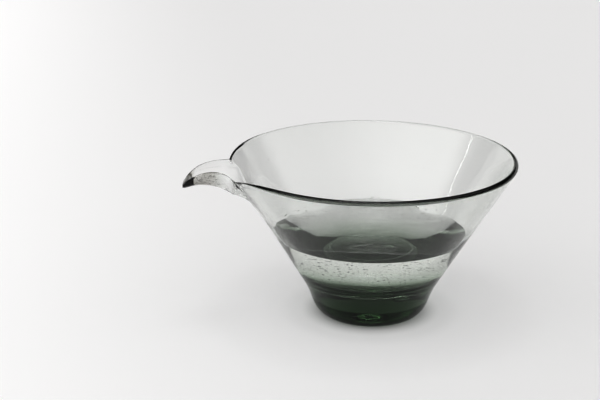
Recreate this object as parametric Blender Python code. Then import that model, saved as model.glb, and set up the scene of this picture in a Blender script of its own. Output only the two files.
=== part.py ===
"""A hand-blown glass mixing bowl with a beak spout, on a solid glass foot.

Three pieces of glass, joined hot: the thin conical bowl, the solid foot gathered
under it, and the spout bit drawn out over a notch in its rim. The origin is the
middle of the foot's flat underside, +Z is up, and the spout points along -X.
"""

import math

import bmesh
import bpy

# Driving dimensions, in metres
SEAM_GAP = 0.0003          # gap that meeting pieces keep
SEGMENTS = 64              # sides of each turned piece

FOOT_FLAT_RADIUS = 0.0208  # flat ring and disc that the bowl stands on
FOOT_EDGE_PULL = 0.0247    # how square the rounded lower edge is
FOOT_BELLY_RADIUS = 0.0277
FOOT_BELLY_HEIGHT = 0.0087
WAIST_RADIUS = 0.0304      # where the foot meets the bowl
WAIST_HEIGHT = 0.0146

RIM_RADIUS = 0.0650        # outside, under the rounded edge
RIM_HEIGHT = 0.0720
RIM_WALL = 0.0020          # thickness across the fire-polished rim, measured level
RIM_SLOPE = 0.61           # outward lean of the wall at the rim, radius over height
WAIST_SLOPE = 0.585        # and just above the waist
THIN_RADIUS = 0.0560       # inside, where the wall has thinned again below the rim
THIN_HEIGHT = 0.0610
THIN_SLOPE = 0.60
FLOOR_HEIGHT = 0.0192      # inside bottom of the bowl
FLOOR_RADIUS = 0.0175      # flat part of the inside bottom
HEEL_RADIUS = 0.0404       # inside, where the bottom's curve meets the wall
HEEL_HEIGHT = 0.0352
HEEL_SLOPE = 0.69
HEEL_ROUNDING = 0.0105     # how far down the wall's lean carries into the bottom's curve
FLOOR_ROUNDING = 0.50      # share of the bottom's width that the curve keeps level

SPOUT_REACH = 0.0205       # from the rim's outside to the spout's tip
SPOUT_ROOT_RADIUS = 0.0116  # outside radius of the half-round trough at the rim
SPOUT_TAPER = 0.35         # radius lost for each unit of reach
SPOUT_WALL = 0.0015
SPOUT_TIP_WALL = 0.0010
SPOUT_DEPTH = 0.87         # share of its half-width that the trough is deep
SPOUT_DROOP = 0.0077       # how far the lips come down by the tip
SPOUT_LIP_HEIGHT = 0.0712  # of the trough's lips at the rim

GLASS = (0.42, 0.50, 0.43, 1.0)
DARK_GLASS = (0.10, 0.15, 0.10, 1.0)


def bezier(start, pull_a, pull_b, end, steps):
    """Points on a cubic curve between two (radius, height) points, without its start."""
    points = []
    for step in range(1, steps + 1):
        t = step / steps
        weights = ((1 - t) ** 3, 3 * t * (1 - t) ** 2, 3 * t * t * (1 - t), t ** 3)
        corners = (start, pull_a, pull_b, end)
        radius = sum(w * p[0] for w, p in zip(weights, corners))
        height = sum(w * p[1] for w, p in zip(weights, corners))
        points.append((radius, height))
    return points


def leaning(point, slope, rise):
    """The point reached from another by going up by rise along a wall that leans out by slope."""
    return (point[0] + slope * rise, point[1] + rise)


def wall_outside(steps):
    """The bowl's outer wall, from the waist up to the rim, almost a straight cone."""
    waist = (WAIST_RADIUS, WAIST_HEIGHT)
    rim = (RIM_RADIUS, RIM_HEIGHT)
    third = (RIM_HEIGHT - WAIST_HEIGHT) / 3
    return bezier(waist, leaning(waist, WAIST_SLOPE, third), leaning(rim, RIM_SLOPE, -third), rim, steps)


def wall_radius(height):
    """Outer radius of the bowl's wall at a height."""
    points = [(WAIST_RADIUS, WAIST_HEIGHT)] + wall_outside(24)
    for low, high in zip(points, points[1:]):
        if height <= high[1]:
            share = (height - low[1]) / (high[1] - low[1])
            return low[0] + share * (high[0] - low[0])
    return RIM_RADIUS


def rim_edge(steps):
    """The fire-polished edge: half a circle from the outer wall over to the inner one."""
    bead = RIM_WALL / 2
    middle = RIM_RADIUS - bead
    points = []
    for step in range(1, steps + 1):
        angle = math.pi * step / steps
        points.append((middle + bead * math.cos(angle), RIM_HEIGHT + bead * math.sin(angle)))
    return points


def wall_inside():
    """The bowl's inner wall, from the rim down to the heel. It thins quickly below the rim."""
    rim = (RIM_RADIUS - RIM_WALL, RIM_HEIGHT)
    thin = (THIN_RADIUS, THIN_HEIGHT)
    heel = (HEEL_RADIUS, HEEL_HEIGHT)
    high = (RIM_HEIGHT - THIN_HEIGHT) / 3
    low = (THIN_HEIGHT - HEEL_HEIGHT) / 3
    upper = bezier(rim, leaning(rim, RIM_SLOPE, -high), leaning(thin, THIN_SLOPE, high), thin, 3)
    return upper + bezier(thin, leaning(thin, THIN_SLOPE, -low), leaning(heel, HEEL_SLOPE, low), heel, 5)


def floor_curve(steps):
    """The rounded corner from the heel down to the flat inside bottom."""
    heel = (HEEL_RADIUS, HEEL_HEIGHT)
    flat = (FLOOR_RADIUS, FLOOR_HEIGHT)
    level = (FLOOR_RADIUS + FLOOR_ROUNDING * (HEEL_RADIUS - FLOOR_RADIUS), FLOOR_HEIGHT)
    return bezier(heel, leaning(heel, HEEL_SLOPE, -HEEL_ROUNDING), level, flat, steps)


def foot_outside():
    """The foot's outline, from its flat underside round the belly up to the waist."""
    flat = (FOOT_FLAT_RADIUS, 0.0)
    belly = (FOOT_BELLY_RADIUS, FOOT_BELLY_HEIGHT)
    waist = (WAIST_RADIUS, WAIST_HEIGHT)
    edge = bezier(flat, (FOOT_EDGE_PULL, 0.0), leaning(belly, 0.26, -0.0034), belly, 6)
    return [flat] + edge + bezier(belly, leaning(belly, 0.38, 0.002), leaning(waist, 0.54, -0.002), waist, 3)


def link(name, mesh, colour):
    """Put a mesh into the scene as a smooth glass object."""
    material = bpy.data.materials.new(name)
    material.use_nodes = True
    shader = material.node_tree.nodes["Principled BSDF"]
    shader.inputs["Base Color"].default_value = colour
    shader.inputs["Roughness"].default_value = 0.05
    shader.inputs["Metallic"].default_value = 0.0
    mesh.materials.append(material)
    mesh.shade_smooth()
    mesh.set_sharp_from_angle(angle=math.radians(35))
    piece = bpy.data.objects.new(name, mesh)
    bpy.context.scene.collection.objects.link(piece)
    return piece


def turned_mesh(name, outline):
    """Turn an outline about Z. It starts and ends on the axis and keeps the glass on its left."""
    form = bmesh.new()
    rings = []
    for radius, height in outline:
        ring = []
        for side in range(SEGMENTS):
            angle = 2 * math.pi * (side + 0.5) / SEGMENTS
            ring.append(form.verts.new((radius * math.cos(angle), radius * math.sin(angle), height)))
        rings.append(ring)
    for lower, upper in zip(rings, rings[1:]):
        for side in range(SEGMENTS):
            after = (side + 1) % SEGMENTS
            form.faces.new((lower[side], lower[after], upper[after], upper[side]))
    form.faces.new(reversed(rings[0]))
    form.faces.new(rings[-1])
    mesh = bpy.data.meshes.new(name)
    form.to_mesh(mesh)
    form.free()
    return mesh


def make_foot():
    """The solid foot: a squat plug of glass with a rounded lower edge."""
    outline = foot_outside()
    link("glass_foot", turned_mesh("glass_foot", outline), DARK_GLASS)


def make_bowl():
    """The thin conical bowl with its thick bottom, notched at the rim for the spout."""
    start = WAIST_HEIGHT + SEAM_GAP
    outline = [(wall_radius(start), start)]
    outline += [point for point in wall_outside(6) if point[1] > start + 0.002]
    outline += rim_edge(4) + wall_inside() + floor_curve(7)
    bowl = link("bowl_wall", turned_mesh("bowl_wall", outline), GLASS)
    cut = bowl.modifiers.new("spout_notch", "BOOLEAN")
    cut.operation = "DIFFERENCE"
    cut.solver = "EXACT"
    cut.object = notch_cutter()


def notch_cutter():
    """A level bar along X, shaped as the trough's inside, that cuts the rim's notch."""
    radius = SPOUT_ROOT_RADIUS - SPOUT_WALL
    form = bmesh.new()
    bmesh.ops.create_cone(form, cap_ends=True, segments=30, radius1=radius, radius2=radius, depth=0.030)
    mesh = bpy.data.meshes.new("notch_cutter")
    form.to_mesh(mesh)
    form.free()
    cutter = bpy.data.objects.new("notch_cutter", mesh)
    cutter.rotation_euler = (0.0, math.pi / 2, 0.0)
    cutter.scale = (SPOUT_DEPTH, 1.0, 1.0)
    cutter.location = (-RIM_RADIUS, 0.0, SPOUT_LIP_HEIGHT)
    cutter.display_type = "WIRE"
    cutter.hide_render = True
    bpy.context.scene.collection.objects.link(cutter)
    return cutter


def spout_radius(reach):
    """Outside radius of the trough at a distance from the rim: a cone with a blunt nose."""
    nose = math.sqrt(max(0.0, 1 - (reach / (SPOUT_REACH + 0.0004)) ** 6))
    return (SPOUT_ROOT_RADIUS - SPOUT_TAPER * reach) * nose


def spout_lip_height(reach):
    """Height of the trough's lips, which bend down like a beak towards the tip."""
    return SPOUT_LIP_HEIGHT - SPOUT_DROOP * max(0.0, reach / SPOUT_REACH) ** 3.5


def spout_point(reach, turn, inward):
    """A point of the trough. turn runs from one lip (0) under the keel to the other (pi)."""
    thick = SPOUT_WALL + (SPOUT_TIP_WALL - SPOUT_WALL) * max(0.0, reach) / SPOUT_REACH
    radius = spout_radius(reach) - (thick if inward else 0.0)
    height = spout_lip_height(reach) - SPOUT_DEPTH * radius * math.sin(turn)
    return (-RIM_RADIUS - reach, radius * math.cos(turn), height)


def root_reach(turn, inward):
    """How far out a line of the trough starts: where it meets the bowl's wall, less the gap."""
    inside, outside = -0.012, 0.006
    for _ in range(40):
        middle = (inside + outside) / 2
        x, y, z = spout_point(middle, turn, inward)
        if math.hypot(x, y) > wall_radius(z) + SEAM_GAP * 1.2:
            outside = middle
        else:
            inside = middle
    return outside


def make_spout(lines=15, stations=9):
    """The beak spout: a half-round trough that narrows and droops to a small tip."""
    form = bmesh.new()
    sections = []
    for station in range(stations + 1):
        share = (station / stations) ** 0.85
        section = []
        for inward in (False, True):
            for line in range(lines):
                turn = math.pi * line / (lines - 1)
                turn = math.pi - turn if inward else turn
                start = root_reach(turn, inward)
                reach = start + (SPOUT_REACH - start) * share
                section.append(form.verts.new(spout_point(reach, turn, inward)))
        sections.append(section)
    count = 2 * lines
    for near, far in zip(sections, sections[1:]):
        for index in range(count):
            after = (index + 1) % count
            form.faces.new((near[index], near[after], far[after], far[index]))
    for section, flip in ((sections[0], True), (sections[-1], False)):
        for index in range(lines - 1):
            corners = [section[index], section[index + 1], section[count - 2 - index], section[count - 1 - index]]
            form.faces.new(reversed(corners) if flip else corners)
    bmesh.ops.recalc_face_normals(form, faces=form.faces)
    mesh = bpy.data.meshes.new("pour_spout")
    form.to_mesh(mesh)
    form.free()
    link("pour_spout", mesh, GLASS)


def main():
    for old in list(bpy.data.objects):
        bpy.data.objects.remove(old)
    make_foot()
    make_bowl()
    make_spout()


main()
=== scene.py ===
import math
import random

import bmesh
import bpy
import numpy as np
from mathutils import Matrix, Vector


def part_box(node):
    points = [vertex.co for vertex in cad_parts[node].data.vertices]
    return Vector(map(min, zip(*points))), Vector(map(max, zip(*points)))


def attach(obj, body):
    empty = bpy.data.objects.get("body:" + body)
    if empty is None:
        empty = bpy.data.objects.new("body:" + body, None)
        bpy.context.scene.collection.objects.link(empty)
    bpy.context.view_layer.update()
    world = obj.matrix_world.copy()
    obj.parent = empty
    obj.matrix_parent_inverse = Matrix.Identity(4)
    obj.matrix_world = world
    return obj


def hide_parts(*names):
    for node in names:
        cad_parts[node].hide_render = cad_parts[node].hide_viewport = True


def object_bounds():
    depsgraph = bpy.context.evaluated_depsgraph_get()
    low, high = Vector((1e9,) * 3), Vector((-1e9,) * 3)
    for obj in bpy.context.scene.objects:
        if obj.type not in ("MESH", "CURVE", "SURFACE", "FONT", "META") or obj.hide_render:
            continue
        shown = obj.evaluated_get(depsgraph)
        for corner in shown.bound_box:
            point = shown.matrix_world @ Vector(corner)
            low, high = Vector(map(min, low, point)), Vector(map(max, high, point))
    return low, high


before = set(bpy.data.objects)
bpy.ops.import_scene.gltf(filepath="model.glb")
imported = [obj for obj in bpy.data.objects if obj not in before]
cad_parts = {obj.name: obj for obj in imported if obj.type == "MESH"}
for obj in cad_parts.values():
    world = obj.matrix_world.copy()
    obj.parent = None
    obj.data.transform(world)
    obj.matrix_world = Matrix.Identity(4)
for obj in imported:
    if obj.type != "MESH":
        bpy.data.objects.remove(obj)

CAD_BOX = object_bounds()

# The bowl's outline as (radius, height), in metres, as the CAD solids have it
FOOT_FLAT_RADIUS = 0.0208
FOOT_EDGE_PULL = 0.0247    # how square the foot's rounded lower edge is
BELLY = (0.0277, 0.0087)
WAIST = (0.0304, 0.0146)
RIM_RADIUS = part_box("bowl_wall")[1][1]
RIM_BEAD = 0.00120         # radius of the fire-polished edge
RIM_LEAN = math.atan(0.61)
RIM_MIDDLE = (RIM_RADIUS - RIM_BEAD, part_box("bowl_wall")[1][2] - RIM_BEAD)
RIM_ACROSS = (RIM_BEAD * math.cos(RIM_LEAN), RIM_BEAD * math.sin(RIM_LEAN))
RIM_OUTSIDE = (RIM_MIDDLE[0] + RIM_ACROSS[0], RIM_MIDDLE[1] - RIM_ACROSS[1])
RIM_INSIDE = (RIM_MIDDLE[0] - RIM_ACROSS[0], RIM_MIDDLE[1] + RIM_ACROSS[1])
RIM_HEIGHT = RIM_MIDDLE[1]
THIN = (0.0560, 0.0610)    # inside, where the wall has thinned again below the rim
FLOOR = (0.0175, 0.0192)   # inside, the edge of the flat bottom
HEEL = (0.0404, 0.0352)    # inside, where the bottom's curve meets the wall
WAIST_SLOPE = 0.585        # outward lean of the wall, radius over height, just above the waist
RIM_SLOPE = 0.610
THIN_SLOPE = 0.60
HEEL_SLOPE = 0.69
WALL_STEPS = 400           # points along a wall's outline before it is thinned out
RING_GAP = 0.0010          # height between the rings of the skin, low down
FINE_RING_GAP = 0.0003     # and in the zone under the rim that holds the spout
FINE_ZONE = 0.0145
BEAD_STEPS = 14

SPOUT_REACH = -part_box("pour_spout")[0][0] - RIM_RADIUS
SPOUT_ROOT_RADIUS = 0.0116
SPOUT_TAPER = 0.35         # radius lost for each unit of reach
SPOUT_WALL = 0.0012
SPOUT_TIP_WALL = 0.0010
SPOUT_NEAR_SWELL = 1.3     # extra share of thickness on the near side, away from the root
SPOUT_NUB = 0.0042         # solid glass at the spout's tip
SPOUT_DEPTH = 0.87         # share of its half-width that the trough is deep
SPOUT_DROOP = 0.0077       # how far the lips come down by the tip
SPOUT_LIP_HEIGHT = 0.0710
SPOUT_COLLAR = 0.0009      # how far the hot bit stands proud of the wall at its seam
NOTCH_THINNING = 0.58      # share of the wall's thickness that is lost round the spout's root
NOTCH_SPREAD = 1.7         # how far round the root that reaches, in root radii
BEND_OUT = 0.45            # share of the root's radius over which the wall turns into the trough
BEND_IN = 0.22
SEAM_WIDTH = 0.16          # of the zone at the seam that is relaxed, in root radii
SEAM_ROUNDS = 14

# Hand work: how far the glass strays from a true turned shape
RIM_DIP = 0.0063           # how far the rim sinks beside the spout, on its near side
DIP_WIDTH = 20.3           # degrees round the rim over which it comes up again
DIP_START = 8.5            # degrees from the spout's middle to the rim's end at the notch
FAR_DIP = 0.12             # share of the dip on the spout's far side
FAR_DIP_WIDTH = 9
DIP_DEPTH = 0.026          # how far down the wall the dip reaches

LIQUID_LEVEL = 0.0394
GLASS_IOR = 1.5
LIQUID_IOR = 1.333
CLEAR = (1, 1, 1, 1)
GLASS_TINT = (0.34, 0.45, 0.33, 1)
WALL_TINT = (0.345, 0.415, 0.335, 1)
SPOUT_TINT = (0.43, 0.42, 0.37, 1)
GLASS_DENSITY = 80.0       # of the colour in the glass, where the density can't vary with place
FOOT_DENSITY = 95.0
WALL_DENSITY = 50.0
SPOUT_DENSITY = 430.0      # added in the thick near side of the spout
TIP_PAINTED_SHADE_DENSITY = 1100.0       # and in its solid tip, as painted shade for the dark that the solid glass shows by bending light

BAND_LIGHT = 0.84          # pale band all round the horizon
TOP_LIGHT = 0.50           # soft light overhead
NEAR_LIGHT = 1.55          # soft light from the camera's side
SIDE_LIGHT = 0.03          # above the pale horizon to the left and right, before DIM_LIGHT
ZENITH_LIGHT = 3.6         # straight above
DIM_LIGHT = 0.06           # the least that any part of the room gives
ROOM_WHITE = (1.0, 0.995, 0.985, 1)
WINDOW_WATTS = 0.6
LAMP_WATTS = 0.5
FLOOR_SIZE = 6.0           # from the middle to an edge
FLOOR_GLOW = 0.60          # painted light: the floor glows as if it were a sheet of white plastic lit from below, which lightens the bowl's shadow on it
# painted shadow: the floor's glow all but shut off under the foot
GLOW_IN_PAINTED_FOOT_SHADOW = 0.03
FLOOR_PALENESS = 0.405     # the floor is also lit by the room from above
CONTRAST = 0.64            # of the picture's tones, under 1 for deeper darks

CAMERA_PLACE = (-0.1160, -0.5914, 0.2520)
CAMERA_PITCH = 18.327
CAMERA_YAW = -8.0
CAMERA_ROLL = 0.2277
CAMERA_LENS = 84.0


# ---------------------------------------------------------------- outlines

def bezier(start, pull_a, pull_b, end, steps):
    """Points on a cubic curve between two (radius, height) points, without its start."""
    t = np.linspace(0, 1, steps + 1)[1:, None]
    a, b, c, d = (np.array(p, float)[None, :] for p in (start, pull_a, pull_b, end))
    return a * (1 - t) ** 3 + b * 3 * t * (1 - t) ** 2 + c * 3 * t * t * (1 - t) + d * t ** 3


def leaning(point, slope, rise):
    """The point reached from another by going up by rise along a wall that leans out by slope."""
    return (point[0] + slope * rise, point[1] + rise)


def outer_wall(steps=WALL_STEPS):
    third = (RIM_OUTSIDE[1] - WAIST[1]) / 3
    pulls = leaning(WAIST, WAIST_SLOPE, third), leaning(RIM_OUTSIDE, RIM_SLOPE, -third)
    return bezier(WAIST, *pulls, RIM_OUTSIDE, steps)


def inner_wall(steps=WALL_STEPS):
    """From the rim down to the heel: the wall thins quickly under its fire-polished edge."""
    high, low = (RIM_INSIDE[1] - THIN[1]) / 3, (THIN[1] - HEEL[1]) / 3
    share = steps // 4
    pulls = leaning(RIM_INSIDE, RIM_SLOPE, -high), leaning(THIN, THIN_SLOPE, high)
    upper = bezier(RIM_INSIDE, *pulls, THIN, share)
    pulls = leaning(THIN, THIN_SLOPE, -low), leaning(HEEL, HEEL_SLOPE, low)
    return np.vstack([[RIM_INSIDE], upper, bezier(THIN, *pulls, HEEL, steps - share)])


def floor_corner(steps):
    """From the heel down to the flat bottom, all inside the bowl."""
    reach = HEEL[0] - FLOOR[0]
    pulls = leaning(HEEL, 0.68, -0.0105), (FLOOR[0] + 0.50 * reach, FLOOR[1])
    return bezier(HEEL, *pulls, FLOOR, steps)


def radius_at(curve, height):
    """Radius of a wall's outline at some heights."""
    order = np.argsort(curve[:, 1])
    return np.interp(height, curve[order, 1], curve[order, 0])


def ramp(value, low, high):
    """0 below low, 1 above high, and a smooth rise between them."""
    share = np.clip((value - low) / (high - low), 0, 1)
    return share * share * (3 - 2 * share)


# ---------------------------------------------------------------- the glass body

OUTSIDE, EDGE, INSIDE = 0, 1, 2


def spread(curve):
    """Which points of a rising curve to keep: far apart low down, close together under the rim."""
    keep, last = [], -1.0
    for index, (_, height) in enumerate(curve):
        gap = FINE_RING_GAP if height > RIM_HEIGHT - FINE_ZONE else RING_GAP
        if height - last >= gap or index == len(curve) - 1:
            keep.append(index)
            last = height
    return np.array(keep)


def body_rows():
    """(radius, height, kind, bead angle) for every ring, from under the foot to the inside bottom."""
    rows = [(radius, 0.0, OUTSIDE, 0) for radius in np.linspace(0, FOOT_FLAT_RADIUS, 8)]
    pulls = (FOOT_EDGE_PULL, 0.0), leaning(BELLY, 0.26, -0.0034)
    edge = bezier((FOOT_FLAT_RADIUS, 0), *pulls, BELLY, 22)
    waist = bezier(BELLY, leaning(BELLY, 0.38, 0.002), leaning(WAIST, 0.54, -0.002), WAIST, 12)
    rows += [(r, z, OUTSIDE, 0) for r, z in np.vstack([edge, waist])]
    wall = outer_wall()
    rows += [(r, z, OUTSIDE, 0) for r, z in wall[spread(wall)]]
    for step in range(1, BEAD_STEPS):
        angle = math.pi * step / BEAD_STEPS
        radius = RIM_MIDDLE[0] + RIM_BEAD * math.cos(angle - RIM_LEAN)
        rows.append((radius, RIM_MIDDLE[1] + RIM_BEAD * math.sin(angle - RIM_LEAN), EDGE, angle))
    wall = inner_wall()
    falling = (len(wall) - 1 - spread(wall[::-1]))[::-1]
    rows += [(r, z, INSIDE, math.pi) for r, z in wall[falling]]
    rows += [(r, z, INSIDE, math.pi) for r, z in floor_corner(26)]
    rows += [(r, FLOOR[1], INSIDE, math.pi) for r in np.linspace(FLOOR[0], 0, 12)[1:]]
    return rows


def body_columns():
    """Angles round the axis, crowded about the spout at pi."""
    near = np.radians(np.arange(-15.0, 15.01, 0.3))
    far = np.radians(np.linspace(15.0, 345.0, 172))[1:-1]
    return np.concatenate([near, far]) + math.pi


def trough_radius(reach):
    nose = np.sqrt(np.clip(1 - (np.clip(reach, 0, None) / (SPOUT_REACH + 0.0004)) ** 6, 0, 1))
    return (SPOUT_ROOT_RADIUS - SPOUT_TAPER * np.clip(reach, 0, None)) * nose


def trough_wall(reach):
    share = np.clip(reach, 0, None) / SPOUT_REACH
    return SPOUT_WALL + (SPOUT_TIP_WALL - SPOUT_WALL) * share


def trough_lip(reach):
    return SPOUT_LIP_HEIGHT - SPOUT_DROOP * (np.clip(reach, 0, None) / SPOUT_REACH) ** 3.5


def thinned(share):
    """Share of the wall's thickness that is lost at a distance, in root radii, from the
    middle of the spout's opening."""
    return NOTCH_THINNING * np.exp(-(np.clip(share - 1, 0, None) / NOTCH_SPREAD) ** 2)


def shape_spout(points, kind, bead):
    """Draw the wall under the spout's opening out into the beak. Returns the points and how
    far each one is from the opening's middle (1 on the seam between wall and spout)."""
    x, y, z = points[..., 0], points[..., 1], points[..., 2]
    root = np.where(kind == OUTSIDE, SPOUT_ROOT_RADIUS, SPOUT_ROOT_RADIUS - SPOUT_WALL)
    middle = SPOUT_ROOT_RADIUS - SPOUT_WALL / 2
    root = np.where(kind == EDGE, middle + SPOUT_WALL / 2 * np.cos(bead), root)
    drop = np.where(kind == EDGE, 0.0, np.clip(SPOUT_LIP_HEIGHT - z, 0, None)) / SPOUT_DEPTH
    rho = np.where(x < 0, np.hypot(y, drop) / root, 9.0)
    turn = np.arctan2(drop, y)
    depth_in = np.where(kind == EDGE, (1 - np.cos(bead)) / 2, np.where(kind == INSIDE, 1.0, 0.0))
    outer, inner = outer_wall(), inner_wall()

    def on_wall(share):
        height = SPOUT_LIP_HEIGHT - SPOUT_DEPTH * root * share * np.sin(turn)
        outside = radius_at(outer, height)
        inside = radius_at(inner, height)
        wall = np.where(kind == INSIDE, inside + (outside - inside) * thinned(share), outside)
        edge = RIM_MIDDLE[0] + RIM_BEAD * np.cos(bead - RIM_LEAN)
        wall = np.where(kind == EDGE, edge + (RIM_OUTSIDE[0] - edge) * thinned(share), wall)
        across = root * share * np.cos(turn)
        return np.stack([-np.sqrt(np.clip(wall ** 2 - across ** 2, 0, None)), across, height], -1)

    def on_trough(pull):
        start = -on_wall(1.0)[..., 0] - RIM_RADIUS
        along = 1 - (1 - pull) ** 1.35
        reach = start + (SPOUT_REACH - SPOUT_NUB * depth_in - start) * along
        swell = ramp(-y / root, 0.0, 1.0) * ramp(reach / SPOUT_REACH, 0.0, 0.4)
        thick = trough_wall(reach) * (1.0 + SPOUT_NEAR_SWELL * swell) * depth_in
        radius = np.clip(trough_radius(reach) - thick, 0.0002, None)
        radius = np.where(reach < 0, np.minimum(radius, root), radius)
        lift = np.where(kind == EDGE, trough_wall(reach) / 2 * np.sin(bead), 0.0)
        height = trough_lip(reach) - SPOUT_DEPTH * radius * np.sin(turn) + lift
        return np.stack([-RIM_RADIUS - reach, radius * np.cos(turn), height], -1)

    # the wall thins from inside towards the notch
    plain = np.hypot(x, y)
    thick = np.where(kind == INSIDE, np.clip(radius_at(outer, z) - plain, 0, 0.003), 0.0)
    thick = np.where(kind == EDGE, RIM_OUTSIDE[0] - plain, thick)
    scale = 1 + thick * thinned(rho) / np.maximum(plain, 0.01)
    lowered = z - (z - RIM_OUTSIDE[1]) * thinned(rho) * (kind == EDGE)
    points = np.stack([x * scale, y * scale, lowered], -1)
    out = np.where((rho < 1)[..., None], on_trough(np.clip(1 - rho, 0, 1)), points)

    # it runs into the trough round a wide hot-glass bend, away from the lips
    deep = ramp(np.sin(turn), 0.05, 0.40) * (kind != EDGE)
    wide_out, wide_in = BEND_OUT * deep + 1e-6, BEND_IN * deep + 1e-6
    t = np.clip((1 + wide_out - rho) / (wide_out + wide_in), 0, 1)[..., None]
    bend = (1 - t) ** 2 * on_wall(1 + wide_out) + 2 * t * (1 - t) * on_wall(1.0)
    bend = bend + t * t * on_trough(wide_in)
    near = (rho > 1 - wide_in) & (rho < 1 + wide_out) & (deep > 0)
    out = np.where(near[..., None], bend, out)

    # the bit of hot glass laid round the seam stands a little proud of the wall outside
    collar = np.where((kind == OUTSIDE) & (rho > 1), np.exp(-((rho - 1.10) / 0.12) ** 2), 0.0)
    angle = np.arctan2(y, x)
    proud = SPOUT_COLLAR * ramp(-y / SPOUT_ROOT_RADIUS, 0.4, 1.0) * collar
    out[..., 0] += proud * np.cos(angle) * 0.86
    out[..., 1] += proud * np.sin(angle) * 0.86
    out[..., 2] -= proud * 0.5
    return out, rho


def soften(points, weight, rounds):
    """Relax the grid where weight is high, so that the seam is a smooth hot-glass fillet."""
    for _ in range(rounds):
        up = np.concatenate([points[1:], points[-1:]], 0)
        down = np.concatenate([points[:1], points[:-1]], 0)
        left = np.roll(points, 1, 1)
        right = np.roll(points, -1, 1)
        points = points + weight[..., None] * 0.5 * ((up + down + left + right) / 4 - points)
    return points


def ripple(points, kind):
    """Fine optical waves in the thickness of the wall, on its inner side."""
    x, y, z = points[..., 0], points[..., 1], points[..., 2]
    radius = np.hypot(x, y)
    angle = np.arctan2(y, x)
    wave = 0.00005 * np.sin(9 * angle + 60 * z + 1.3) + 0.00003 * np.sin(17 * angle - 140 * z)
    wave += 0.00002 * np.sin(31 * angle + 300 * z + 0.4 * np.sin(200 * z))
    low = ramp(z, 0.022, 0.030) * (1 - ramp(z, 0.044, 0.056))
    wave += 0.00006 * low * np.sin(7 * angle + 2.0 + 160 * z) * np.sin(4 * angle - 210 * z)
    wave *= np.where(kind == INSIDE, 1.0, 0.45)
    wave *= np.clip((z - 0.016) / 0.01, 0, 1) * np.clip((0.0665 - radius) / 0.004, 0, 1)
    scale = 1 + wave / np.maximum(radius, 0.02)
    points[..., 0] *= scale
    points[..., 1] *= scale
    return points


def sag_by_hand(points):
    """The slow unevenness of hand work: the rim dips beside the spout and the wall wanders."""
    x, y, z = points[..., 0], points[..., 1], points[..., 2]
    radius = np.hypot(x, y)
    angle = np.arctan2(y, x)
    high = np.clip((z - 0.012) / (RIM_HEIGHT - 0.012), 0, 1)
    wander = 0.00016 * np.sin(2 * angle + 0.7) + 0.00010 * np.sin(3 * angle + 2.1)
    wander = wander * high + 0.00006 * high * np.sin(5 * angle + 90 * z)
    scale = 1 + (wander - 0.00026 * high) / np.maximum(radius, 0.01)
    spout = np.clip((radius - 0.066) / 0.004, 0, 1)
    scale = scale * (1 - spout) + spout
    points[..., 0] = x * scale
    points[..., 1] = y * scale

    side = np.degrees(np.arctan2(-y, -x))            # from the spout's middle, + on the near side
    beside = np.exp(-(side / DIP_WIDTH) ** 2)
    beyond = np.clip(-DIP_START - side, 0, None) / FAR_DIP_WIDTH
    fall = np.where(side > DIP_START, beside, FAR_DIP * np.exp(-beyond ** 2))
    across = FAR_DIP + 0.72 * ramp(side, -DIP_START, DIP_START)
    fall = np.where(np.abs(side) <= DIP_START, across, fall)
    fade = np.clip((z - (RIM_HEIGHT - DIP_DEPTH)) / DIP_DEPTH, 0, 1) ** 1.5
    fade = fade * np.exp(-(np.clip(radius - 0.0640, 0, None) / 0.0028) ** 1.2)
    points[..., 2] -= RIM_DIP * fall * fade
    return points


def body_grid():
    """The skin as rings of points, and each ring's kind."""
    rows = body_rows()
    columns = body_columns()
    ones = np.ones_like(columns)[None, :]
    r, z, kind, bead = (np.array([row[part] for row in rows])[:, None] for part in range(4))
    kind, bead = kind * ones, bead * ones
    points = np.stack([r * np.cos(columns)[None, :], r * np.sin(columns)[None, :], z * ones], -1)
    points, rho = shape_spout(points, kind, bead)
    points = ripple(points, kind)
    points = soften(points, np.exp(-((rho - 1.0) / SEAM_WIDTH) ** 2), SEAM_ROUNDS)
    points = sag_by_hand(points)
    return points, [row[2] for row in rows]


def grid_mesh(points):
    """A closed mesh from rings of points whose first and last rings are single points."""
    rows, columns = points.shape[:2]
    first, last = points[0].mean(0), points[-1].mean(0)
    middle = points[1:-1].reshape(-1, 3)
    count = rows - 2
    verts = np.vstack([middle, [first], [last]])
    index = np.arange(count * columns).reshape(count, columns)
    after = np.roll(index, -1, 1)
    faces = np.stack([index[:-1], after[:-1], after[1:], index[1:]], -1).reshape(-1, 4).tolist()
    bottom, top = count * columns, count * columns + 1
    faces += [(bottom, b, a) for a, b in zip(index[0].tolist(), after[0].tolist())]
    faces += [(top, a, b) for a, b in zip(index[-1].tolist(), after[-1].tolist())]
    return verts, faces


# ---------------------------------------------------------------- bubbles

def ball():
    """Vertices and faces of a small faceted ball, turned inside out: a hollow in the glass."""
    form = bmesh.new()
    bmesh.ops.create_icosphere(form, subdivisions=2, radius=1.0)
    verts = np.array([v.co[:] for v in form.verts])
    faces = [[v.index for v in reversed(f.verts)] for f in form.faces]
    form.free()
    return verts, faces


def add_bubbles(verts, faces, places):
    """Add a hollow for each (centre, sizes, direction) to a mesh's lists."""
    ball_verts, ball_faces = ball()
    blocks = [verts]
    start = len(verts)
    for centre, sizes, turn in places:
        shaped = (ball_verts * np.array(sizes)) @ np.array(turn).T + np.array(centre)
        blocks.append(shaped)
        faces += [[start + i for i in face] for face in ball_faces]
        start += len(ball_verts)
    return np.vstack(blocks), faces


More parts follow.
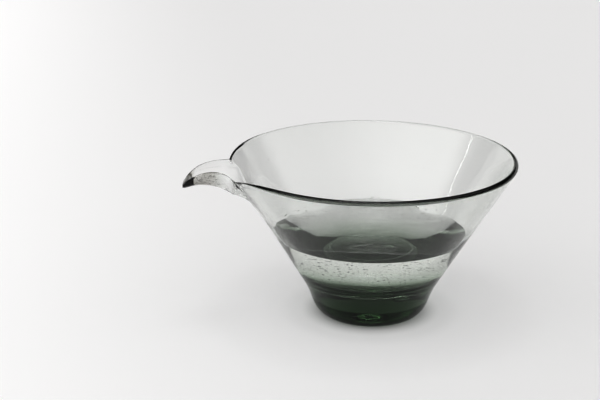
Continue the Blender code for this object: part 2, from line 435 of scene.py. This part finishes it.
def wall_seeds(rng):
    """Seeds: tiny bubbles drawn out round the wall, most of them low in it."""
    outer, inner = outer_wall(), inner_wall()
    low_inner = np.vstack([inner, floor_corner(60)])
    slope = math.atan(0.59)

    def in_wall(height, angle, size, stretch):
        outside = radius_at(outer, height)
        inside = radius_at(inner if height > HEEL[1] else low_inner, height)
        radius = inside + (outside - inside) * rng.uniform(0.3, 0.7)
        size = min(size, (outside - inside) * 0.27)
        cos, sin = math.cos(angle), math.sin(angle)
        around = np.array([-sin, cos, 0])
        upward = np.array([cos * math.sin(slope), sin * math.sin(slope), math.cos(slope)])
        turn = np.stack([around, upward, np.cross(around, upward)], 1)
        return (radius * cos, radius * sin, height), (size * stretch, size, size * 0.8), turn

    low = [in_wall(rng.triangular(0.0225, 0.0420, 0.0320), rng.uniform(0, 2 * math.pi),
                   rng.triangular(0.00008, 0.00030, 0.00012), rng.uniform(1.0, 2.8))
           for _ in range(720)]
    high = [in_wall(rng.uniform(0.040, 0.070), rng.uniform(0, 2 * math.pi),
                    rng.triangular(0.00006, 0.00020, 0.00009), rng.uniform(0.9, 1.7))
            for _ in range(60)]
    return low + high


def joint_ring(rng):
    """A thread of bubbles shut in round the edge of the thick bottom."""
    count = 150
    places = []
    for step in range(count):
        angle = 2 * math.pi * (step + rng.uniform(-0.4, 0.4)) / count
        radius = 0.0187 + 0.0003 * math.sin(3 * angle + 1) + rng.uniform(-0.0002, 0.0002)
        height = 0.0172 + 0.0002 * math.sin(4 * angle) + rng.uniform(-0.0002, 0.0002)
        size = rng.triangular(0.00018, 0.00052, 0.00032)
        turn = np.array(Matrix.Rotation(angle + math.pi / 2, 3, "Z"))
        centre = (radius * math.cos(angle), radius * math.sin(angle), height)
        places.append((centre, (size * rng.uniform(1, 2.6), size, size * 0.8), turn))
    return places


def base_bubbles():
    """The few large bubbles in the thick bottom."""
    shapes = (((0.0088, 0.0008, 0.0162), (0.0026, 0.0024, 0.0024), 0.3),
              ((0.0024, 0.0012, 0.0172), (0.0013, 0.0011, 0.0010), -0.2),
              ((-0.0030, 0.0034, 0.0174), (0.0016, 0.0007, 0.0007), 0.5),
              ((-0.0075, 0.0020, 0.0172), (0.0022, 0.0008, 0.0008), 0.2),
              ((-0.0060, -0.0018, 0.0174), (0.0028, 0.0007, 0.0007), -0.3),
              ((0.0048, -0.0008, 0.0171), (0.0012, 0.0006, 0.0004), 0.1))
    return [(place, sizes, np.array(Matrix.Rotation(lean, 3, "Z"))) for place, sizes, lean in shapes]


def spout_seeds(rng):
    """Seeds in the near side of the spout."""
    places = []
    for _ in range(70):
        reach, turn = rng.uniform(0.0045, 0.0150), rng.uniform(0.58, 0.97) * math.pi
        radius = float(trough_radius(reach)) - float(trough_wall(reach)) * rng.uniform(0.4, 1.0)
        size = rng.triangular(0.00008, 0.00030, 0.00014)
        height = float(trough_lip(reach)) - SPOUT_DEPTH * radius * math.sin(turn)
        centre = (-RIM_RADIUS - reach, radius * math.cos(turn), height)
        places.append((centre, (size * rng.uniform(1, 2.5), size, size), np.eye(3)))
    return places


def foot_seeds(rng):
    """Round seeds all through the foot."""
    places = []
    for _ in range(260):
        angle, radius = rng.uniform(0, 2 * math.pi), 0.024 * math.sqrt(rng.random())
        size = rng.triangular(0.00007, 0.00024, 0.0001)
        centre = (radius * math.cos(angle), radius * math.sin(angle), rng.uniform(0.003, 0.0165))
        places.append((centre, (size, size, size), np.eye(3)))
    return places


def all_bubbles():
    rng = random.Random(7)
    places = wall_seeds(rng)
    places += joint_ring(rng)
    places += base_bubbles()
    places += spout_seeds(rng)
    return places + foot_seeds(rng)


def mesh_object(name, verts, faces, material):
    mesh = bpy.data.meshes.new(name)
    mesh.from_pydata([tuple(v) for v in verts], [], faces)
    mesh.validate()
    mesh.shade_smooth()
    mesh.materials.append(material)
    piece = bpy.data.objects.new(name, mesh)
    bpy.context.scene.collection.objects.link(piece)
    return piece


# ---------------------------------------------------------------- node helpers

def ramped(tree, source, low, high, start, end):
    """A smooth change from start to end as a value goes from low to high."""
    node = tree.nodes.new("ShaderNodeMapRange")
    node.interpolation_type = "SMOOTHSTEP"
    node.inputs["From Min"].default_value = low
    node.inputs["From Max"].default_value = high
    node.inputs["To Min"].default_value = start
    node.inputs["To Max"].default_value = end
    tree.links.new(source, node.inputs["Value"])
    return node.outputs["Result"]


def combined(tree, kind, first, second):
    """The result of one arithmetic step on two values or sockets."""
    node = tree.nodes.new("ShaderNodeMath")
    node.operation = kind
    for socket, value in zip(node.inputs, (first, second)):
        if isinstance(value, (int, float)):
            socket.default_value = value
        else:
            tree.links.new(value, socket)
    return node.outputs[0]


def coloured(tree, blend, share, first, second):
    """Two colours or colour sockets, mixed or multiplied."""
    node = tree.nodes.new("ShaderNodeMix")
    node.data_type = "RGBA"
    node.blend_type = blend
    colour_sockets = [socket for socket in node.inputs if socket.type == "RGBA"]
    for socket, value in zip([node.inputs["Factor"]] + colour_sockets, (share, first, second)):
        if isinstance(value, (int, float, tuple)):
            socket.default_value = value
        else:
            tree.links.new(value, socket)
    return next(socket for socket in node.outputs if socket.type == "RGBA")


def place_in_room(tree):
    """The x, y and z sockets of the shaded point's place."""
    place = tree.nodes.new("ShaderNodeNewGeometry")
    split = tree.nodes.new("ShaderNodeSeparateXYZ")
    tree.links.new(place.outputs["Position"], split.inputs[0])
    return split.outputs


def nodes_of(name):
    material = bpy.data.materials.new(name)
    material.use_nodes = True
    tree = material.node_tree
    return material, tree, tree.nodes["Principled BSDF"]


# ---------------------------------------------------------------- materials

def blown_glass():
    """Clear soda glass, grey-green in its thickness and darkest in the foot and the spout's tip,
    where the tip's darkness is painted shade.
    Where the liquid wets it, it bends light as glass against that liquid does."""
    material, tree, shader = nodes_of("blown_glass")
    shader.inputs["Base Color"].default_value = CLEAR
    shader.inputs["Roughness"].default_value = 0.0
    shader.inputs["IOR"].default_value = GLASS_IOR
    shader.inputs["Transmission Weight"].default_value = 1.0
    x, y, z = place_in_room(tree)
    wet = tree.nodes.new("ShaderNodeAttribute")
    wet.attribute_name = "inner_skin"
    under = combined(tree, "LESS_THAN", z, LIQUID_LEVEL)
    under = combined(tree, "MULTIPLY", under, combined(tree, "GREATER_THAN", wet.outputs["Fac"], 0.5))
    drop = combined(tree, "MULTIPLY", under, GLASS_IOR - GLASS_IOR / LIQUID_IOR)
    tree.links.new(combined(tree, "SUBTRACT", GLASS_IOR, drop), shader.inputs["IOR"])

    absorb = tree.nodes.new("ShaderNodeVolumeAbsorption")
    absorb.inputs["Color"].default_value = GLASS_TINT
    absorb.inputs["Density"].default_value = GLASS_DENSITY
    deep = ramped(tree, z, 0.022, 0.058, FOOT_DENSITY, WALL_DENSITY)
    spout = ramped(tree, x, -0.077, -0.066, SPOUT_DENSITY, 0.0)
    spout = combined(tree, "MULTIPLY", spout, ramped(tree, y, -0.003, 0.002, 1.0, 0.15))
    # painted shade: much denser colour in the spout's solid tip
    spout = combined(tree, "ADD", spout, ramped(tree, x, -0.0835, -0.0790, TIP_PAINTED_SHADE_DENSITY, 0.0))
    tree.links.new(combined(tree, "ADD", deep, spout), absorb.inputs["Density"])
    higher = coloured(tree, "MIX", ramped(tree, z, 0.020, 0.032, 0.0, 1.0), GLASS_TINT, WALL_TINT)
    tint = coloured(tree, "MIX", ramped(tree, x, -0.074, -0.066, 1.0, 0.0), higher, SPOUT_TINT)
    tree.links.new(tint, absorb.inputs["Color"])
    tree.links.new(absorb.outputs["Volume"], tree.nodes["Material Output"].inputs["Volume"])
    return material


def clear_liquid():
    material, _, shader = nodes_of("clear_liquid")
    shader.inputs["Roughness"].default_value = 0.0
    shader.inputs["Base Color"].default_value = CLEAR
    shader.inputs["IOR"].default_value = LIQUID_IOR
    shader.inputs["Transmission Weight"].default_value = 1.0
    return material


def floor_tone_with_painted_light(tree, x):
    """Painted light from the window: paler on the left, where the window is, and darker again beyond
    the picture's edge.
    """
    tone = ramped(tree, x, -0.32, 0.02, 0.96, 0.79)
    tone = combined(tree, "SUBTRACT", tone, ramped(tree, x, -0.70, -0.20, 0.15, 0.0))
    grey = tree.nodes.new("ShaderNodeCombineColor")
    tree.links.new(tone, grey.inputs[0])
    tree.links.new(combined(tree, "MULTIPLY", tone, 0.997), grey.inputs[1])
    tree.links.new(tone, grey.inputs[2])
    return grey.outputs[0]


def pale_floor():
    material, tree, shader = nodes_of("pale_floor")
    x, y, _ = place_in_room(tree)
    # grey holds the painted window light, for both the floor's glow and its colour
    grey = floor_tone_with_painted_light(tree, x)
    squares = combined(tree, "ADD", combined(tree, "POWER", x, 2.0), combined(tree, "POWER", y, 2.0))
    radius = combined(tree, "SQRT", squares, 0.0)
    # painted shadow: the glow is shut off under the foot; painted light: a ring of extra glow
    # lightens the shadow round it
    glow = ramped(tree, radius, 0.015, 0.033, GLOW_IN_PAINTED_FOOT_SHADOW, FLOOR_GLOW)
    ring = combined(tree, "MULTIPLY", ramped(tree, radius, 0.033, 0.044, 0.0, 0.045),
                    ramped(tree, radius, 0.046, 0.075, 1.0, 0.0))
    tree.links.new(combined(tree, "ADD", glow, ring), shader.inputs["Emission Strength"])
    tree.links.new(grey, shader.inputs["Emission Color"])
    paleness = (FLOOR_PALENESS, FLOOR_PALENESS, FLOOR_PALENESS, 1)
    tree.links.new(coloured(tree, "MULTIPLY", 1.0, grey, paleness), shader.inputs["Base Color"])
    shader.inputs["Roughness"].default_value = 0.6
    shader.inputs["Specular IOR Level"].default_value = 0.0

    # far off, the floor sweeps up into the room's pale horizon without an edge
    sweep = tree.nodes.new("ShaderNodeEmission")
    sweep.inputs["Color"].default_value = ROOM_WHITE
    sweep.inputs["Strength"].default_value = BAND_LIGHT
    mix = tree.nodes.new("ShaderNodeMixShader")
    tree.links.new(ramped(tree, radius, 0.6, 2.4, 0.0, 1.0), mix.inputs[0])
    tree.links.new(shader.outputs[0], mix.inputs[1])
    tree.links.new(sweep.outputs[0], mix.inputs[2])
    tree.links.new(mix.outputs[0], tree.nodes["Material Output"].inputs["Surface"])
    return material


# ---------------------------------------------------------------- building

def make_body():
    points, kinds = body_grid()
    verts, faces = grid_mesh(points)
    skin = [1.0 if kind == INSIDE else 0.0 for kind in kinds[1:-1]]
    skin = np.repeat(skin, points.shape[1]).tolist() + [0.0, 1.0]
    verts, faces = add_bubbles(verts, faces, all_bubbles())
    body = mesh_object("blown_bowl", verts, faces, blown_glass())
    mark = body.data.attributes.new("inner_skin", "FLOAT", "POINT")
    mark.data.foreach_set("value", skin + [0.0] * (len(verts) - len(skin)))
    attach(body, "root")
    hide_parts("bowl_wall", "glass_foot", "pour_spout")
    return points, kinds


def make_liquid(points, kinds):
    """The surface of the clear liquid in the bowl: contents, not part of the object."""
    inside = np.array([ring for ring, kind in zip(points, kinds) if kind == INSIDE])
    edge = []
    for column in range(inside.shape[1]):
        wall = inside[np.argsort(inside[:, column, 2]), column]
        x, y = (np.interp(LIQUID_LEVEL, wall[:, 2], wall[:, axis]) for axis in (0, 1))
        edge.append([x, y, LIQUID_LEVEL])
    edge = np.array(edge)
    shares = (1.001, 0.98, 0.8, 0.6, 0.4, 0.2)
    rings = [edge * np.array([share, share, 1.0]) for share in shares]
    verts = np.vstack(rings + [[[0.0, 0.0, LIQUID_LEVEL]]])
    count = len(edge)
    faces = []
    for ring in range(len(shares) - 1):
        for side in range(count):
            after = (side + 1) % count
            outer, inner = ring * count, (ring + 1) * count
            faces.append((outer + side, outer + after, inner + after, inner + side))
    last = (len(shares) - 1) * count
    faces += [(last + side, last + (side + 1) % count, last + count) for side in range(count)]
    liquid = mesh_object("liquid", verts, faces, clear_liquid())


def make_stage():
    size = FLOOR_SIZE
    verts = [(-size, -size, 0), (size, -size, 0), (size, size, 0), (-size, size, 0)]
    floor = mesh_object("floor", verts, [(0, 1, 2, 3)], pale_floor())
    floor.location.z = CAD_BOX[0][2] - 0.0001


def make_camera():
    camera = bpy.data.cameras.new("camera")
    camera.lens = CAMERA_LENS
    camera.sensor_width = 36.0
    camera.clip_start = 0.01
    camera.clip_end = 50.0
    holder = bpy.data.objects.new("camera", camera)
    bpy.context.scene.collection.objects.link(holder)
    turn = Matrix.Rotation(math.radians(CAMERA_YAW), 4, "Z")
    turn = turn @ Matrix.Rotation(math.radians(90 - CAMERA_PITCH), 4, "X")
    turn = turn @ Matrix.Rotation(math.radians(CAMERA_ROLL), 4, "Z")
    holder.matrix_world = Matrix.Translation(CAMERA_PLACE) @ turn
    bpy.context.scene.camera = holder


def softbox(name, place, width, height, watts):
    """A rectangular lamp that looks at the bowl's foot."""
    lamp = bpy.data.lights.new(name, "AREA")
    lamp.shape = "RECTANGLE"
    lamp.size = width
    lamp.size_y = height
    lamp.energy = watts
    holder = bpy.data.objects.new(name, lamp)
    bpy.context.scene.collection.objects.link(holder)
    holder.location = place
    holder.rotation_euler = (-Vector(place)).to_track_quat("-Z", "Y").to_euler()


def make_light():
    """A room with a pale band round its horizon, lower to the left and right, and soft light
    overhead and behind the camera. The rest of it is dim."""
    world = bpy.data.worlds.new("studio")
    bpy.context.scene.world = world
    world.use_nodes = True
    tree = world.node_tree
    place = tree.nodes.new("ShaderNodeTexCoord")
    split = tree.nodes.new("ShaderNodeSeparateXYZ")
    tree.links.new(place.outputs["Generated"], split.inputs[0])
    x, y, z = split.outputs
    band = ramped(tree, z, 0.26, 0.31, BAND_LIGHT, 0.0)
    low_band = ramped(tree, z, 0.09, 0.13, BAND_LIGHT, SIDE_LIGHT)
    aside = ramped(tree, combined(tree, "ABSOLUTE", x, 0.0), 0.72, 0.86, 0.0, 1.0)
    drop = combined(tree, "MULTIPLY", aside, combined(tree, "SUBTRACT", band, low_band))
    band = combined(tree, "SUBTRACT", band, combined(tree, "MAXIMUM", drop, 0.0))
    zenith = ramped(tree, z, 0.965, 0.985, 0.0, ZENITH_LIGHT)
    top = ramped(tree, z, 0.45, 0.75, 0.0, TOP_LIGHT)
    near = ramped(tree, y, 0.0, 0.5, NEAR_LIGHT, 0.0)
    near = combined(tree, "MULTIPLY", near, ramped(tree, z, 0.30, 0.42, 0.0, 1.0))
    left = ramped(tree, x, -0.7, 0.7, 1.3, 0.7)
    high = combined(tree, "MULTIPLY", combined(tree, "MAXIMUM", top, near), left)
    level = combined(tree, "MAXIMUM", band, high)
    level = combined(tree, "MAXIMUM", level, DIM_LIGHT)
    level = combined(tree, "ADD", level, zenith)
    back = tree.nodes["Background"]
    back.inputs[0].default_value = ROOM_WHITE
    tree.links.new(level, back.inputs[1])
    softbox("window", (-2.0, 0.75, 1.6), 0.02, 1.4, WINDOW_WATTS)
    softbox("lamp", (0.05, 0.12, 2.2), 0.3, 0.3, LAMP_WATTS)


def set_picture():
    scene = bpy.context.scene
    scene.view_settings.view_transform = "Standard"
    scene.view_settings.gamma = CONTRAST
    scene.cycles.max_bounces = 32
    scene.cycles.transmission_bounces = 24
    scene.cycles.glossy_bounces = 12


make_liquid(*make_body())
make_stage()
make_camera()
make_light()
set_picture()
